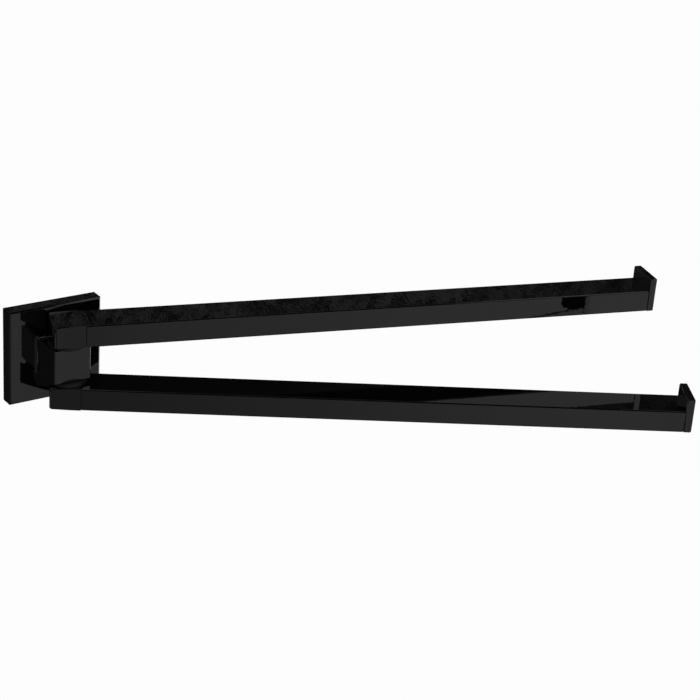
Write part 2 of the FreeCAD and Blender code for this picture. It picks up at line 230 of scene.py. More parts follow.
@dataclass(frozen=True)
class BlackGloss(Finish):
    """Deep black plated and lacquered metal with a mirror gloss and a fine orange peel."""

    angle: float = 0.0
    coat: Coat = Coat.SHOW
    tone: float = 0.0035
    index: float = 1.85
    peel_scale: float = 480.0
    peel_stretch: float = 0.40
    peel_depth: float = 0.000012
    tube_flow: float = 0.9

    def surface(self, graph: Graph) -> dict:
        """Black base, cloudy gloss, faint wiping marks and thin wear on the edges.

        Args:
            graph: The material's graph.

        Returns:
            The shader's sockets.
        """
        place = graph.place(self.angle)
        clouds = graph.noise(place, 38.0, 3.0, 0.55)
        peel_place = graph.place(self.angle, (1.0, self.peel_stretch, 1.0))
        peel = graph.noise(peel_place, self.peel_scale, 1.0)
        if self.coat is Coat.INSIDE:
            grit = graph.noise(place, 1500.0, 3.0, 0.6)
            rough = 0.34 + 0.22 * clouds
            normal = graph.bump(grit + 0.6 * peel, 0.00006, 0.8)
            deep, pale = (0.009, 0.009, 0.0095), (0.016, 0.016, 0.017)
            colour = graph.blend(clouds.step(0.35, 0.7), deep, pale)
        else:
            along = graph.place(self.angle, (1.0, 5.0, 5.0))
            wipes = graph.noise(along, 260.0, 2.0, 0.6).step(0.5, 0.8)
            specks = graph.noise(place, 2600.0, 1.0).step(0.70, 0.76)
            rim = graph.node("ShaderNodeAttribute", {"attribute_name": "rim"})["Fac"]
            worn = rim * graph.noise(place, 420.0, 3.0, 0.65).step(0.52, 0.70)
            haze = clouds.step(0.50, 0.80)
            rough = 0.020 + 0.04 * haze + 0.02 * wipes + 0.08 * specks + 0.10 * worn
            flow = self.tube_flow if self.coat is Coat.TUBE else 1.0
            normal = graph.bump(peel, self.peel_depth * flow)
            base = (self.tone, self.tone, self.tone * 1.05)
            lifted = tuple(4.0 * value for value in base)
            worn_tone = (0.030, 0.028, 0.026)
            colour = graph.blend(worn * 0.55, graph.blend(specks * 0.5, base, lifted), worn_tone)
        return {"Base Color": colour, "Roughness": rough, "IOR": self.index, "Normal": normal}


@dataclass(frozen=True)
class CastZinc(Finish):
    """Bare die-cast zinc: flow clouds, fine pitting and a dull oxide."""

    def surface(self, graph: Graph) -> dict:
        """Grey metal with oxide clouds and a sand-fine relief.

        Args:
            graph: The material's graph.

        Returns:
            The shader's sockets.
        """
        place = graph.place()
        clouds = graph.noise(place, 60.0, 4.0, 0.6, 0.6)
        grain = graph.noise(place, 1700.0, 3.0, 0.6)
        pits = graph.noise(place, 620.0, 2.0, 0.5).step(0.62, 0.74)
        flow = graph.noise(graph.place(0.0, (1.0, 1.0, 4.0)), 95.0, 2.0, 0.5, 1.2)
        metal = graph.blend(clouds.step(0.3, 0.7), (0.30, 0.305, 0.315), (0.44, 0.445, 0.455))
        # the pits are painted darker: painted shade in the hollows of the pitting
        colour = graph.blend(pits * 0.45, metal, (0.16, 0.16, 0.165))
        rough = 0.30 + 0.20 * clouds + 0.12 * pits + 0.06 * flow
        normal = graph.bump(0.5 * grain + 0.5 * flow - 0.8 * pits, 0.00007, 0.7)
        return {"Base Color": colour, "Metallic": 1.0, "Roughness": rough, "Normal": normal}


@dataclass(frozen=True)
class Steel(Finish):
    """Turned steel, blackened or bright."""

    tone: tuple
    rough: float
    worn: float

    def surface(self, graph: Graph) -> dict:
        """Metal with turning lines and rubbed patches.

        Args:
            graph: The material's graph.

        Returns:
            The shader's sockets.
        """
        clouds = graph.noise(graph.place(), 300.0, 3.0, 0.6)
        lines = graph.noise(graph.place(0.0, (1.0, 1.0, 14.0)), 900.0)
        bright = tuple(0.30 + 0.8 * value for value in self.tone)
        colour = graph.blend(clouds.step(0.5, 0.72) * self.worn, self.tone, bright)
        rough = self.rough + 0.14 * clouds + 0.05 * lines
        normal = graph.bump(lines, 0.000012, 0.6)
        return {"Base Color": colour, "Metallic": 1.0, "Roughness": rough, "Normal": normal}


@dataclass(frozen=True)
class Moulded(Finish):
    """Moulded engineering plastic with a fine eroded texture."""

    tone: tuple
    rough: float

    def surface(self, graph: Graph) -> dict:
        """Plastic with mottled gloss and a spark-eroded relief.

        Args:
            graph: The material's graph.

        Returns:
            The shader's sockets.
        """
        place = graph.place()
        mottle = graph.noise(place, 220.0, 3.0, 0.6)
        pale = tuple(1.35 * value for value in self.tone)
        colour = graph.blend(mottle.step(0.35, 0.7), self.tone, pale)
        normal = graph.bump(graph.noise(place, 2400.0, 2.0, 0.6), 0.00002, 0.6)
        return {"Base Color": colour, "Roughness": self.rough + 0.16 * mottle, "Normal": normal}


@dataclass(frozen=True)
class LitPaper(Finish):
    """Studio paper that glows, evenly or in levels along its width."""

    tone: float = 1.0
    width: float = 1.0
    levels: tuple = ()

    def shade(self, graph: Graph) -> Wire:
        """Glow of one tone, or where there are levels, a ramp of them.

        Args:
            graph: The material's graph.

        Returns:
            The shader's output.
        """
        if not self.levels:
            return graph.node("ShaderNodeEmission", {}, {"Color": (self.tone,) * 3 + (1.0,)})[0]
        where = graph.node("ShaderNodeTexCoord")["Object"]
        across = graph.node("ShaderNodeSeparateXYZ", {}, {"Vector": where})["X"]
        stops = [(x / self.width + 0.5, (level,) * 3) for x, level in self.levels]
        share = across / self.width + 0.5
        ramp = graph.node("ShaderNodeValToRGB", {"stops": stops}, {"Fac": share})
        return graph.node("ShaderNodeEmission", {}, {"Color": ramp["Color"]})[0]


SHOW_BLACK = BlackGloss("black_gloss_show")
INSIDE_BLACK = BlackGloss("black_gloss_inside", coat=Coat.INSIDE)
ZINC = CastZinc("bare_cast_zinc")
SCREW_STEEL = Steel("blackened_screw_steel", (0.055, 0.054, 0.053), 0.26, 0.35)
PIN_STEEL = Steel("ground_pin_steel", (0.46, 0.46, 0.465), 0.10, 0.15)
WASHER_PLASTIC = Moulded("black_washer_plastic", (0.012, 0.012, 0.013), 0.38)
BUSH_PLASTIC = Moulded("ivory_bush_plastic", (0.52, 0.50, 0.44), 0.34)
PAD_PLASTIC = Moulded("white_pad_plastic", (0.66, 0.66, 0.63), 0.36)


# ---- mesh making
def arc(x: float, y: float, radius: float, start: float, sweep: float, steps: int) -> list:
    """Points along an arc about (x, y) from a starting angle, both ends among them."""
    turns = [start + sweep * i / steps for i in range(steps + 1)]
    return [(x + radius * math.cos(turn), y + radius * math.sin(turn)) for turn in turns]


def circle(radius: float, height: float, steps: int) -> list:
    """Points round the Z axis at one height, anticlockwise from above."""
    return [(x, y, height) for x, y in arc(0.0, 0.0, radius, 0.0, 2 * math.pi, steps)[:-1]]


def eased_section(outer: float, inner: float, low: float, high: float, ease: float) -> list:
    """Section of a flat ring as (radius, height) points, its four corners eased."""
    return [(inner, low + ease), (inner + ease, low), (outer - ease, low), (outer, low + ease),
            (outer, high - ease), (outer - ease, high), (inner + ease, high), (inner, high - ease)]


def near(value: float, limit: float) -> bool:
    """True for a coordinate that lies at a limit, on either side of the middle."""
    return abs(abs(value) - limit) < TINY


class Form:
    """A mesh in the making, in millimetres: shapes joined, cut and softened."""

    def __init__(self, mesh: bmesh.types.BMesh) -> None:
        """Takes over the mesh under construction."""
        self.mesh = mesh

    @classmethod
    def loft(cls, rows: Sequence[Sequence[Point]], ends: int = 0, endless: bool = False) -> "Form":
        """Skin through rows of points, each closed round; a row of one point is a tip.

        Args:
            rows: The rows, in order.
            ends: 1 closes both ends of rows that rise anticlockwise, -1 of clockwise ones.
            endless: Whether the last row joins the first.

        Returns:
            The skin.
        """
        mesh = bmesh.new()
        made = [[mesh.verts.new(point) for point in row] for row in rows]
        if ends:
            mesh.faces.new(made[0][::-ends])
            mesh.faces.new(made[-1][::ends])
        steps = max(len(row) for row in made)
        for below, above in zip(made, made[1:] + made[:1] if endless else made[1:]):
            for i in range(steps):
                spots = ((below, i), (below, i + 1), (above, i + 1), (above, i))
                corners = list(dict.fromkeys(row[k % len(row)] for row, k in spots))
                if len(corners) > 2:
                    mesh.faces.new(corners)
        return cls(mesh)

    @classmethod
    def prism(cls, outline: Sequence[Point], low: float, high: float) -> "Form":
        """Upright prism on an outline of (x, y) points, anticlockwise from above."""
        return cls.loft([[(x, y, z) for x, y in outline] for z in (low, high)], ends=1)

    @classmethod
    def box(cls, low: Point, high: Point) -> "Form":
        """Box between its lowest and its highest corner."""
        outline = [(low[0], low[1]), (high[0], low[1]), (high[0], high[1]), (low[0], high[1])]
        return cls.prism(outline, low[2], high[2])

    @classmethod
    def turned(cls, profile: Sequence[Point], steps: int = 48) -> "Form":
        """Solid of revolution about Z on (radius, height) points from foot to head."""
        return cls.loft([circle(r, z, steps) if r else [(0.0, 0.0, z)] for r, z in profile])

    @classmethod
    def rod(cls, radius: float, low: float, high: float, steps: int = 48) -> "Form":
        """Upright cylinder between two heights."""
        return cls.turned([(0, low), (radius, low), (radius, high), (0, high)], steps)

    @classmethod
    def ring(cls, outer: float, inner: float, low: float, high: float, ease: float,
             steps: int = 32) -> "Form":
        """Flat ring between two radii and two heights, its rims eased by a small bevel."""
        section = eased_section(outer, inner, low, high, ease)
        return cls.loft([circle(r, z, steps) for r, z in section], endless=True)

    @classmethod
    def hexagon(cls, across: float, low: float, high: float) -> "Form":
        """Upright hexagonal bar, measured across its flats."""
        return cls.loft([circle(across / math.sqrt(3), z, 6) for z in (low, high)], ends=1)

    def moved(self, x: float = 0.0, y: float = 0.0, z: float = 0.0) -> "Form":
        """Moves the form and returns it."""
        return self.placed(Matrix.Translation((x, y, z)))

    def placed(self, matrix: Matrix) -> "Form":
        """Puts the form through a matrix and returns it."""
        bmesh.ops.transform(self.mesh, matrix=matrix, verts=self.mesh.verts)
        return self

    def facing(self, direction: Point) -> "Form":
        """Turns the form's Z axis into a direction and returns it."""
        turn = Vector((0, 0, 1)).rotation_difference(Vector(direction).normalized())
        return self.placed(turn.to_matrix().to_4x4())

    def shown(self, name: str) -> bpy.types.Object:
        """Hands the mesh over to a new object of the scene.

        Args:
            name: The object's name.

        Returns:
            The object.
        """
        data = bpy.data.meshes.new(name)
        self.mesh.to_mesh(data)
        self.mesh.free()
        made = bpy.data.objects.new(name, data)
        bpy.context.scene.collection.objects.link(made)
        return made

    def combined(self, operation: str, *others: "Form") -> "Form":
        """Puts this form through a boolean with each of the others, which are used up.

        Args:
            operation: UNION, DIFFERENCE or INTERSECT.
            *others: The other forms.

        Returns:
            This form with its new mesh.
        """
        for other in others:
            self.mesh.normal_update()
            other.mesh.normal_update()
            holders = [form.shown("making") for form in (self, other)]
            change = holders[0].modifiers.new("change", "BOOLEAN")
            change.operation = operation
            change.solver = "EXACT"
            change.object = holders[1]
            seen = holders[0].evaluated_get(bpy.context.evaluated_depsgraph_get())
            result = bpy.data.meshes.new_from_object(seen)
            self.mesh = bmesh.new()
            self.mesh.from_mesh(result)
            for data in [holder.data for holder in holders] + [result]:
                bpy.data.meshes.remove(data)
            bmesh.ops.remove_doubles(self.mesh, verts=self.mesh.verts, dist=TINY / 10)
        return self

    def cut(self, *tools: "Form") -> "Form":
        """Takes the tools out of the form and returns it."""
        return self.combined("DIFFERENCE", *tools)

    def join(self, *others: "Form") -> "Form":
        """Fuses other forms on and returns the form."""
        return self.combined("UNION", *others)

    def also(self, *others: "Form") -> "Form":
        """Adds other forms' faces without fusing.

        Args:
            *others: The other forms, which are used up.

        Returns:
            This form.
        """
        for other in others:
            data = other.shown("adding").data
            self.mesh.from_mesh(data)
            bpy.data.meshes.remove(data)
        return self

    def bevel(self, width: float, where: Callable[[Vector], bool], segments: int = 1,
              sharper: float = 30.0) -> "Form":
        """Bevels the sharp edges whose ends and middle pass a test.

        Args:
            width: Leg of the bevel on each face.
            where: Test on a point.
            segments: 1 for a flat bevel, more for a round one.
            sharper: Only edges that turn by more than this, in degrees.

        Returns:
            This form.
        """
        self.mesh.normal_update()
        edges = []
        for edge in self.mesh.edges:
            if len(edge.link_faces) != 2 or edge.calc_face_angle(0.0) < math.radians(sharper):
                continue
            ends = [vertex.co for vertex in edge.verts]
            if all(where(point) for point in ends + [(ends[0] + ends[1]) / 2]):
                edges.append(edge)
        if edges:
            bmesh.ops.bevel(self.mesh, geom=edges, offset=width, offset_type="OFFSET",
                            segments=segments, profile=0.5, affect="EDGES", clamp_overlap=True)
        return self

    def softened(self, width: float) -> "Form":
        """Takes the last sharpness off every edge that is still sharp and returns the form."""
        return self.bevel(width, lambda point: True, 2, 28.0)


@dataclass
class Piece:
    """A finished piece: its name, the node it stands for, body, slot and finish."""

    name: str
    node: str
    body: str
    slot: str
    finish: Finish
    inside: Optional[Finish] = None
    inside_test: Optional[Callable[[Vector, Vector], bool]] = None
    crease: float = 20.0
    smooth_width: float = 1.6
    rim_width: float = 0.9
    rim_share: float = 0.06

    def make(self, form: Form, matrix: Matrix = Matrix()) -> None:
        """Turns a form into the scene's object, riding on its body.

        Args:
            form: The form, in millimetres, which is used up.
            matrix: Where it stands, in millimetres.
        """
        form.placed(matrix)
        mesh = form.mesh
        bmesh.ops.scale(mesh, vec=(MM, MM, MM), verts=mesh.verts)
        mesh.normal_update()
        if mesh.calc_volume(signed=True) < 0:
            bmesh.ops.reverse_faces(mesh, faces=mesh.faces)
        largest = max(face.calc_area() for face in mesh.faces)
        widths = [face.calc_area() / max(edge.calc_length() for edge in face.edges) / MM
                  for face in mesh.faces]
        made = form.shown(self.name)
        data = made.data
        data.materials.append(self.finish.material())
        if self.inside is not None:
            data.materials.append(self.inside.material())
            for polygon in data.polygons:
                if self.inside_test(polygon.center / MM, polygon.normal):
                    polygon.material_index = 1
        rim = data.attributes.new("rim", "FLOAT", "FACE")
        for polygon, width in zip(data.polygons, widths):
            narrow = width < self.rim_width and polygon.area < self.rim_share * largest
            rim.data[polygon.index].value = float(narrow)
        data.set_sharp_from_angle(angle=math.radians(self.crease))
        data.polygons.foreach_set("use_smooth", [width < self.smooth_width for width in widths])
        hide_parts(self.node)
        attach(made, self.body)
        log.info("%s: %d faces on %s", self.name, len(data.polygons), self.body)


def dress(node: str, finish: Finish) -> None:
    """Gives a node of the frame its finish, shape unchanged.

    Args:
        node: The node's name.
        finish: Its finish.
    """
    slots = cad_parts[node].data.materials
    if not len(slots):
        slots.append(None)
    for i in range(len(slots)):
        slots[i] = finish.material()
    log.info("%s: dressed as %s", node, finish.name)


# ---- fasteners
@dataclass
class Thread:
    """Outer thread as a ridge wound round a core."""

    radius: float
    pitch: float
    depth: float
    clearance: float = 0.02
    steps: int = 28
    rows_per_turn: int = 4

    def form(self, low: float, high: float) -> Form:
        """Threaded length along Z with a closed foot and head.

        Args:
            low: Height of its start.
            high: Height of its end.

        Returns:
            The threaded form.
        """
        count = max(2, int((high - low) / self.pitch * self.rows_per_turn))
        rows = []
        for k in range(count + 1):
            height = low + (high - low) * k / count
            ends = max(0.0, min(1.0, (height - low) / self.pitch, (high - height) / self.pitch))
            row = []
            for i, (x, y, z) in enumerate(circle(1.0, height, self.steps)):
                phase = ((height - low) / self.pitch - i / self.steps) % 1.0
                crest = 1.0 - abs(2.0 * phase - 1.0)
                radius = self.radius - self.clearance - self.depth * (1.0 - crest * ends)
                row.append((radius * x, radius * y, z))
            rows.append(row)
        return Form.loft(rows, ends=1)


@dataclass
class GrubScrew:
    """Headless set screw with a hexagon socket, standing on its tip, socket upwards."""

    radius: float = 2.0
    core: float = 1.7
    key: float = 2.0
    key_depth: float = 1.8
    pitch: float = 0.7
    lead: float = 0.35
    tip_radius: float = 1.3
    tip_height: float = 0.7

    def form(self, length: float) -> Form:
        """The screw from its tip at 0 to its socket face.

        Args:
            length: Overall length.

        Returns:
            The screw.
        """
        shoulder = length - self.lead
        flat = self.key / 2
        body = Form.turned([(0, 0), (self.tip_radius, 0), (self.core, self.tip_height),
                            (self.core, shoulder), (self.radius, shoulder),
                            (self.radius - 0.25, length), (0, length)], 40)
        mouth = Form.turned([(0, length - 0.45), (flat + 0.05, length - 0.2),
                             (flat + 0.35, length + 0.1), (0, length + 0.1)], 40)
        body.cut(Form.hexagon(self.key, length - self.key_depth, length + 1.0), mouth)
        thread = Thread(self.radius, self.pitch, self.radius - self.core)
        return body.also(thread.form(self.tip_height, shoulder))


@dataclass
class CountersunkScrew:
    """Small countersunk socket screw, head face at 0 and shank upwards."""

    head_radius: float = 2.6
    radius: float = 1.5
    core: float = 1.3
    thread_depth: float = 0.22
    key: float = 2.0
    key_depth: float = 1.2
    length: float = 6.5
    tip: float = 0.3
    pitch: float = 0.5
    inset: float = 0.04

    def form(self) -> Form:
        """The screw.

        Returns:
            The screw, shank towards +Z.
        """
        cone = self.head_radius - self.radius
        face = self.inset
        flat = self.key / 2
        end = self.length - self.tip
        body = Form.turned([(0, face), (self.head_radius - 0.16, face),
                            (self.head_radius - 0.05, face + 0.10), (self.core, cone + 0.15),
                            (self.core, end), (self.core - self.tip, self.length),
                            (0, self.length)])
        mouth = Form.turned([(0, face - 0.1), (flat + 0.32, face - 0.1), (flat, face + 0.25),
                             (0, face + 0.45)], 40)
        body.cut(Form.hexagon(self.key, face - 0.5, self.key_depth), mouth)
        thread = Thread(self.radius, self.pitch, self.thread_depth)
        return body.also(thread.form(cone + 0.1, end))


@dataclass
class SocketScrew:
    """Cap screw with a knurled head and hexagon socket, head upwards, seat at 0."""

    shank: float
    radius: float = 3.0
    thread_depth: float = 0.5
    head_radius: float = 5.2
    head_height: float = 3.4
    key: float = 4.0
    key_floor: float = 0.4
    pitch: float = 1.0
    run_out: float = 0.9
    knurls: int = 40
    knurl_depth: float = 0.16

    def form(self) -> Form:
        """The screw.

        Returns:
            The screw, shank towards -Z.
        """
        rim = self.head_radius
        top = self.head_height
        flat = self.key / 2
        outline = []
        for i in range(self.knurls * 2):
            turn = math.pi * i / self.knurls
            radius = rim - self.knurl_depth * (i % 2)
            outline.append((radius * math.cos(turn), radius * math.sin(turn)))
        head = Form.prism(outline, 0.35, top - 0.55)
        head.join(Form.turned([(0, top - 0.6), (rim - 0.12, top - 0.6), (rim - 0.14, top - 0.3),
                               (rim - 0.5, top), (0, top)], 64),
                  Form.turned([(0, 0), (rim - 0.25, 0), (rim - 0.1, 0.15), (rim - 0.1, 0.4),
                               (0, 0.4)], 64))
        head.cut(Form.hexagon(self.key, top * self.key_floor, top + 1),
                 Form.turned([(0, top - 0.75), (flat + 0.08, top - 0.25), (flat + 0.45, top + 0.1),
                              (0, top + 0.1)]))
        core = Form.rod(self.radius - self.thread_depth, -self.shank, 0.0, 32)
        thread = Thread(self.radius, self.pitch, self.thread_depth)
        return head.also(core, thread.form(-self.shank, -self.run_out))


@dataclass
class SpringRing:
    """Split washer whose ends stand a little apart, its foot at 0."""

    outer: float = 5.4
    inner: float = 3.3
    thick: float = 1.4
    gap: float = 9.0
    rise: float = 0.22
    play: float = 0.01
    ease: float = 0.1
    steps: int = 60

    def form(self) -> Form:
        """The washer.

        Returns:
            The washer, wound round Z.
        """
        rows = []
        for i in range(self.steps + 1):
            share = i / self.steps
            turn = math.radians(90 + self.gap / 2 + (360 - self.gap) * share)
            low = self.rise * share + self.play
            high = self.thick - self.rise * (1 - share) - self.play
            section = eased_section(self.outer, self.inner, low, high, self.ease)
            rows.append([(r * math.cos(turn), r * math.sin(turn), z) for r, z in section])
        return Form.loft(rows, ends=-1)


# ---- wall side
BASE = "wall_base"
PIVOT_Y = -22.5
POST_HEIGHT = 20.0
GRUB_HOLE = 2.02
PAST = 8.0  # how far a cutting tool reaches past what it cuts


@dataclass
class WallSide:
    """Cover plate, the bracket behind it, post and the screws that hold them."""

    plate: float = 55.0
    depth: float = 8.5
    rim: float = 2.0
    front: float = 2.5
    edge: float = 0.8
    cavity_corner: float = 1.5
    cavity_fillet: float = 0.5
    hook_width: float = 24.0
    hook_root: float = 15.75
    hook_depth: float = 4.2
    boss_width: float = 10.0
    boss_height: float = 4.2
    boss_gap: float = 0.3
    boss_round: float = 0.9
    mark_depth: float = 0.15
    grub_level: float = 3.2
    grub_gap: float = 0.3
    post_hole: float = 3.2
    screw_grip: float = 7.4
    bracket_width: float = 42.0
    bracket_height: float = 41.0
    bracket_depth: float = 5.0
    bracket_corner: float = 3.0
    window: float = 8.5
    hole_spacing: float = 29.0
    hole_radius: float = 2.5
    seat_radius: float = 4.6
    seat_floor: float = 2.0
    post_width: float = 22.0
    post_depth: float = 21.0
    post_edge: float = 0.5
    post_foot: float = 3.0
    foot_lip: float = 0.3
    foot_steps: int = 10
    corner_steps: int = 8
    pin_radius: float = 4.0
    dowel_spacing: float = 14.0
    dowel_radius: float = 1.5

    @property
    def cavity(self) -> float:
        """Half the cavity's width."""
        return self.plate / 2 - self.rim

    @property
    def floor(self) -> float:
        """Y of the cavity's floor."""
        return self.front - self.depth

    def cover(self) -> None:
        """Builds the cover plate: bevelled square shell with hook, boss and marks inside."""
        half = self.plate / 2
        rooted = half - self.rim / 2
        root, deep = self.hook_root, self.hook_depth
        shell = Form.box((-half, -self.depth, -half), (half, 0, half))
        inner, floor = self.cavity, self.floor
        cavity = Form.box((-inner, floor, -inner), (inner, 3.0, inner))
        cavity.bevel(self.cavity_corner, lambda p: near(p.x, inner) and near(p.z, inner), 9)
        cavity.bevel(self.cavity_fillet, lambda p: p.y < floor + TINY, 3, 60.0)
        shell.bevel(self.edge, lambda p: p.y < -TINY).cut(cavity)
        hook = Form.prism([(0, root), (-deep, root + deep), (-deep, rooted), (0, rooted)],
                          -self.hook_width / 2, self.hook_width / 2)
        boss = Form.box((-self.boss_width / 2, floor - self.front / 2, -rooted),
                        (self.boss_width / 2, -self.boss_gap, self.boss_height - inner))
        boss.bevel(self.boss_round, lambda p: p.z > 1 - inner or p.y > -self.boss_gap - 0.1, 2)
        shell.join(hook.placed(CROSSWISE), boss)
        sunk = self.mark_depth
        shell.cut(*self._ejector_marks(2.3, (-0.2, sunk), 17.5, floor - sunk, 16.0),
                  Form.rod(GRUB_HOLE, -PAST, PAST).moved(0, -self.grub_level, 4.0 - half),
                  Form.rod(self.post_hole, -1.0, self.depth + 1.0).facing(FROM_WALL))
        Piece("cover_plate", "wall_plate", BASE, "black_gloss", SHOW_BLACK, INSIDE_BLACK,
              self._is_inside).make(shell.softened(0.09))

    @staticmethod
    def _ejector_marks(radius: float, span: Point, x: float, y: float, z: float) -> list:
        """Ring tools for the marks that ejector pins left at both x and both z."""
        return [Form.ring(radius, radius - 0.3, *span, 0.02).facing(TO_WALL).moved(i * x, y, j * z)
                for i in (-1, 1) for j in (-1, 1)]

    def _is_inside(self, centre: Vector, normal: Vector) -> bool:
        """True for a face of the cavity, which shows the rougher inside coat."""
        reach = self.cavity + 0.05
        return centre.y > self.floor - 0.3 and abs(centre.x) < reach and abs(centre.z) < reach

    def bracket(self) -> None:
        """Builds the die-cast wall bracket with softened edges and seats for the wall screws."""
        deep = self.bracket_depth
        top = self.bracket_height / 2
        back = top - deep
        side = self.bracket_width / 2
        body = Form.prism([(0, -back), (-deep, -top), (-deep, top), (0, back)], -side, side)
        mask = Form.box((-side, -deep, -top), (side, 0, top))
        mask.bevel(self.bracket_corner, lambda p: near(p.x, side) and near(p.z, top), 10)
        mask.placed(Matrix.Scale(1.5, 4, TO_WALL)).moved(y=1.0)
        body.placed(CROSSWISE).combined("INTERSECT", mask)
        tools = [Form.rod(self.window, -PAST, 2.0, 72).facing(TO_WALL)]
        for x in (-self.hole_spacing / 2, self.hole_spacing / 2):
            hole = Form.rod(self.hole_radius, -PAST, 2.0).facing(TO_WALL)
            seat = Form.rod(self.seat_radius, self.seat_floor, PAST).facing(FROM_WALL)
            tools += [hole.moved(x), seat.moved(x)]
        body.cut(*tools, *self._ejector_marks(1.7, (-0.14, 0.5), 12.5, 0.0, 11.5))
        body.softened(0.22)
        Piece("bracket_casting", "wall_bracket", BASE, "bracket_zinc", ZINC).make(body)

    def post(self) -> None:
        """Builds the square post with its flat edge bevels and the bores behind and through it."""
        half_z = POST_HEIGHT / 2
        block = self._footed_block()
        block.cut(Form.rod(self.pin_radius, -half_z - 1, half_z + 1, 64).moved(y=PIVOT_Y),
                  Form.rod(3.0, -1.0, PAST).facing(FROM_WALL).moved(y=-self.depth))
        for x in (-self.dowel_spacing / 2, self.dowel_spacing / 2):
            dowel = Form.rod(self.dowel_radius, -1.0, 3.5, 32).facing(FROM_WALL)
            block.cut(dowel.moved(x, -self.depth))
        Piece("post", "post_block", BASE, "black_gloss", SHOW_BLACK).make(block.softened(0.07))

    def _footed_block(self) -> Form:
        """Post block lofted from its bevelled front to the concave foot on the cover.

        Returns:
            The block.
        """
        edge, foot = self.post_edge, self.post_foot
        sweep = math.pi / 2 - math.acos(1.0 - self.foot_lip / foot)
        flare = arc(self.foot_lip - foot, foot, foot, -math.pi / 2, sweep, self.foot_steps)
        block = Form.loft([self._outline(-self.post_depth, -edge, 0.0),
                           self._outline(edge - self.post_depth, 0.0, edge)]
                          + [self._outline(y, out, edge) for y, out in flare], ends=-1)
        bmesh.ops.remove_doubles(block.mesh, verts=block.mesh.verts, dist=TINY / 10)
        bmesh.ops.recalc_face_normals(block.mesh, faces=block.mesh.faces)
        return block

    def _outline(self, y: float, flare: float, nick: float) -> list:
        """Outline of the post at one depth, from the side of each corner to its top or back.

        Args:
            y: Distance from the cover's face.
            flare: How far the foot stands out here, negative where the front is bevelled.
            nick: Bevel of the corners.

        Returns:
            The outline's points.
        """
        out, inset = max(flare, 0.0), min(flare, 0.0)
        shares = [i / self.corner_steps for i in range(self.corner_steps + 1)]
        points = []
        for side, top in ((1, 1), (-1, 1), (-1, -1), (1, -1)):
            for share in shares[::side * top]:
                turn = math.pi / 2 * share
                x = self.post_width / 2 + inset - nick * share + out * math.cos(turn)
                z = POST_HEIGHT / 2 + inset - nick * (1 - share) + out * math.sin(turn)
                points.append((side * x, y - self.depth, top * z))
        return points

    def screws(self) -> None:
        """Builds the post screw, its spring washer and the cover's grub screw."""
        washer = SpringRing()
        seat = self.floor + washer.thick
        screw = SocketScrew(shank=seat + self.depth + self.screw_grip).form()
        foot = (self.edge - self.plate) / 2 + self.grub_gap
        tip = self.bracket_depth - self.bracket_height / 2 - self.grub_level - self.grub_gap
        grub = GrubScrew(tip_radius=0.4, tip_height=1.5).form(tip - foot).facing((0, 0, -1))
        split = washer.form().facing(TO_WALL)
        for name, node, form in (
                ("post_cap_screw", "post_screw", screw.facing(TO_WALL).moved(y=seat)),
                ("spring_ring", "post_spring_washer", split.moved(y=self.floor)),
                ("cover_set_screw", "plate_grub_screw", grub.moved(y=-self.grub_level, z=tip))):
            Piece(name, node, BASE, "steel_screws", SCREW_STEEL).make(form)

    def build(self) -> None:
        """Builds the wall side in the order in which it is put together."""
        self.bracket()
        self.cover()
        self.post()
        self.screws()
        dress("post_dowels", PIN_STEEL)


# ---- pivot
@dataclass
class Pivot:
    """The pin through the post and the plastic washers on both sides of it."""

    washer_radius: float = 10.6
    washer_bore: float = 4.15
    washer_thick: float = 1.9
    washer_ease: float = 0.18

    def build(self) -> None:
        """Builds both washers and dresses the pin."""
        dress("pivot_pin", PIN_STEEL)
        face = POST_HEIGHT / 2
        for side in Side:
            ring = Form.ring(self.washer_radius, self.washer_bore, face, face + self.washer_thick,
                             self.washer_ease, 96)
            if side is Side.LOWER:
                ring.placed(Matrix.Rotation(math.pi, 4, "X"))
            Piece(f"{side.prefix}_thrust_ring", f"{side.prefix}_washer", BASE, "washer_plastic",
                  WASHER_PLASTIC).make(ring.moved(y=PIVOT_Y))


